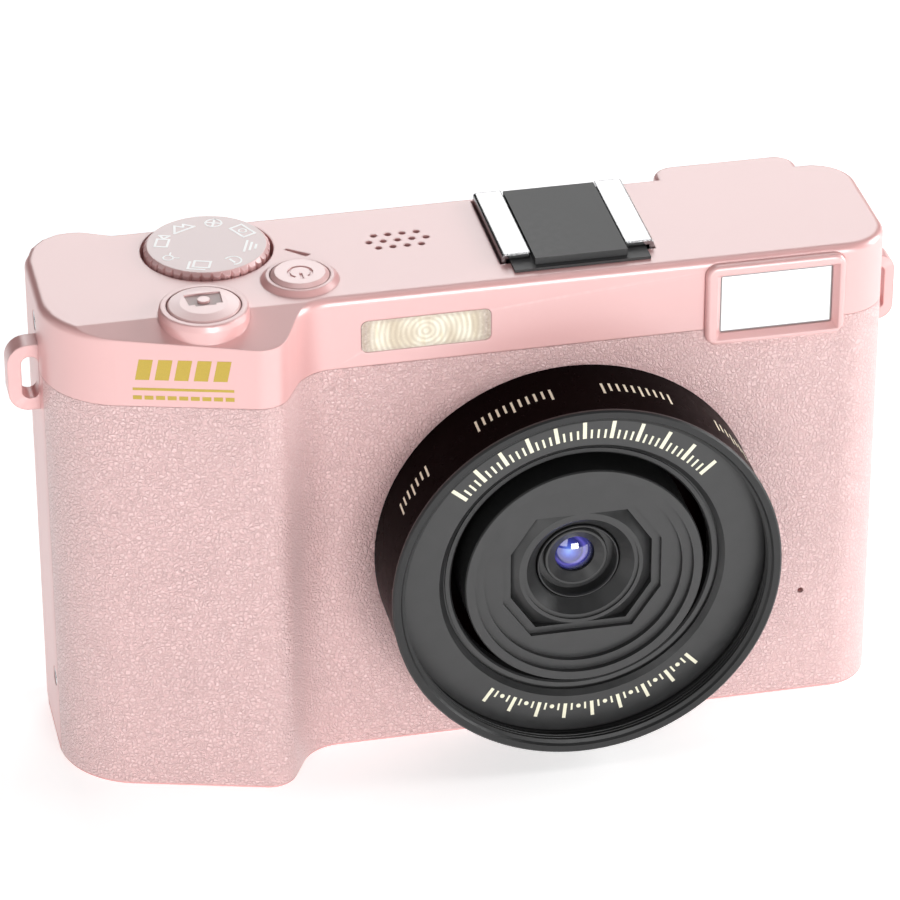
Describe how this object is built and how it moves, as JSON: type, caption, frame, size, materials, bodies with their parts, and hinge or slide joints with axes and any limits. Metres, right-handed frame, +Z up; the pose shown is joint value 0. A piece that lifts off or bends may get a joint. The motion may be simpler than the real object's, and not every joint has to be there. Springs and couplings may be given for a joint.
{
  "type": "compact digital camera",
  "caption": "Slim box-shaped digital camera with a leather-covered grip, a round fixed lens with a filter thread, a mode dial, a release button, a flash, a viewfinder and an accessory shoe.",
  "frame": {"origin": "mouth centre of the tripod socket on the base plane, below the lens axis", "axes": "+Z up, -Y the way the lens looks, -X towards the hand grip"},
  "size_m": [0.1244, 0.0418, 0.074],
  "materials": {
    "pink_shell": "satin",
    "pink_leather": "matte",
    "pink_button": "satin",
    "barrel_gloss": "gloss",
    "lens_black": "matte",
    "ring_black": "satin",
    "coated_glass": "gloss",
    "clear_glass": "gloss",
    "flash_glass": "satin",
    "white_window": "gloss",
    "display_glass": "gloss",
    "display_panel": "matte",
    "bright_steel": "gloss",
    "brushed_steel": "satin",
    "cover_black": "matte",
    "black_plastic": "matte",
    "brass": "satin",
    "circuit_green": "satin",
    "chip_black": "matte",
    "battery_wrap": "satin",
    "card_blue": "satin",
    "silicone": "matte",
    "reflector_metal": "gloss",
    "sensor_face": "gloss"
  },
  "bodies": {
    "camera": {"case_screws": "brushed_steel", "strap_lugs": "pink_shell", "top_cover": "pink_shell", "front_shell": "pink_shell", "front_leatherette": "pink_leather", "rear_shell": "pink_shell", "bottom_plate": "pink_shell", "door_hinge_pin": "brushed_steel", "tripod_insert": "brass", "lens_barrel": "barrel_gloss", "lens_front_ring": "ring_black", "lens_name_ring": "lens_black", "lens_baffle": "lens_black", "af_housing": "black_plastic", "ir_filter": "clear_glass", "image_sensor": "sensor_face", "sensor_board": "circuit_green", "dial_encoder": "black_plastic", "shutter_return_dome": "silicone", "shutter_switch": "black_plastic", "power_switch": "black_plastic", "hot_shoe_base": "brushed_steel", "hot_shoe_rails": "bright_steel", "flash_window": "flash_glass", "flash_reflector": "reflector_metal", "flash_tube": "clear_glass", "flash_capacitor": "battery_wrap", "viewfinder_bezel": "pink_shell", "viewfinder_window": "white_window", "viewfinder_tunnel": "black_plastic", "eyepiece_lens": "clear_glass", "lcd_window": "display_glass", "lcd_panel": "display_panel", "chassis_frame": "black_plastic", "main_board": "circuit_green", "board_components": "chip_black", "battery_pack": "battery_wrap", "card_socket": "brushed_steel", "memory_card": "card_blue", "usb_socket": "brushed_steel", "speaker_unit": "black_plastic", "microphone_unit": "black_plastic"},
    "shutter": {"shutter_button": "pink_button"},
    "power": {"power_button": "pink_button"},
    "dial": {"mode_dial": "pink_button", "dial_shaft": "black_plastic"},
    "shoe_cover": {"hot_shoe_cover": "cover_black"},
    "door": {"battery_door": "pink_shell"},
    "latch": {"door_latch": "pink_button"},
    "focus": {"af_carrier": "lens_black", "lens_cell": "lens_black", "front_lens_element": "coated_glass", "rear_lens_element": "clear_glass"},
    "menu": {"menu_button": "pink_button"},
    "playback": {"playback_button": "pink_button"},
    "delete": {"delete_button": "pink_button"},
    "ok": {"ok_button": "pink_button"},
    "nav": {"nav_ring": "pink_button"},
    "rocker": {"zoom_rocker": "pink_button"}
  },
  "joints": [
    {"name": "shutter_press", "type": "slide", "parent": "camera", "child": "shutter", "axis": [0, 0, -1], "range_m": [0, 0.0009], "stiffness_N_per_m": 500, "deforming": ["shutter_return_dome"]},
    {"name": "power_press", "type": "slide", "parent": "camera", "child": "power", "axis": [0, 0, -1], "range_m": [0, 0.00045], "stiffness_N_per_m": 600},
    {"name": "menu_press", "type": "slide", "parent": "camera", "child": "menu", "axis": [0, -1, 0], "range_m": [0, 0.0004], "stiffness_N_per_m": 500},
    {"name": "playback_press", "type": "slide", "parent": "camera", "child": "playback", "axis": [0, -1, 0], "range_m": [0, 0.0004], "stiffness_N_per_m": 500},
    {"name": "delete_press", "type": "slide", "parent": "camera", "child": "delete", "axis": [0, -1, 0], "range_m": [0, 0.0004], "stiffness_N_per_m": 500},
    {"name": "ok_press", "type": "slide", "parent": "camera", "child": "ok", "axis": [0, -1, 0], "range_m": [0, 0.0004], "stiffness_N_per_m": 500},
    {"name": "nav_press", "type": "slide", "parent": "camera", "child": "nav", "axis": [0, -1, 0], "range_m": [0, 0.0004], "stiffness_N_per_m": 500},
    {"name": "focus_travel", "type": "slide", "parent": "camera", "child": "focus", "axis": [0, -1, 0], "range_m": [0, 0.0003], "stiffness_N_per_m": 400},
    {"name": "zoom_rock", "type": "hinge", "parent": "camera", "child": "rocker", "pos_m": [-0.0495, 0.0094, 0.0536], "axis": [0, 0, 1], "range_deg": [-3, 3], "stiffness_Nm_per_rad": 0.06},
    {"name": "dial_turn", "type": "hinge", "parent": "camera", "child": "dial", "pos_m": [-0.0468, 0.0051, 0.07], "axis": [0, 0, 1], "continuous": true},
    {"name": "shoe_cover_slide", "type": "slide", "parent": "camera", "child": "shoe_cover", "axis": [0, 1, 0], "range_m": [0, 0.02]},
    {"name": "door_hinge", "type": "hinge", "parent": "camera", "child": "door", "pos_m": [-0.0366, 0, 0.0009], "axis": [0, -1, 0], "range_deg": [0, 95]},
    {"name": "latch_slide", "type": "slide", "parent": "door", "child": "latch", "axis": [1, 0, 0], "range_m": [0, 0.0011]}
  ]
}
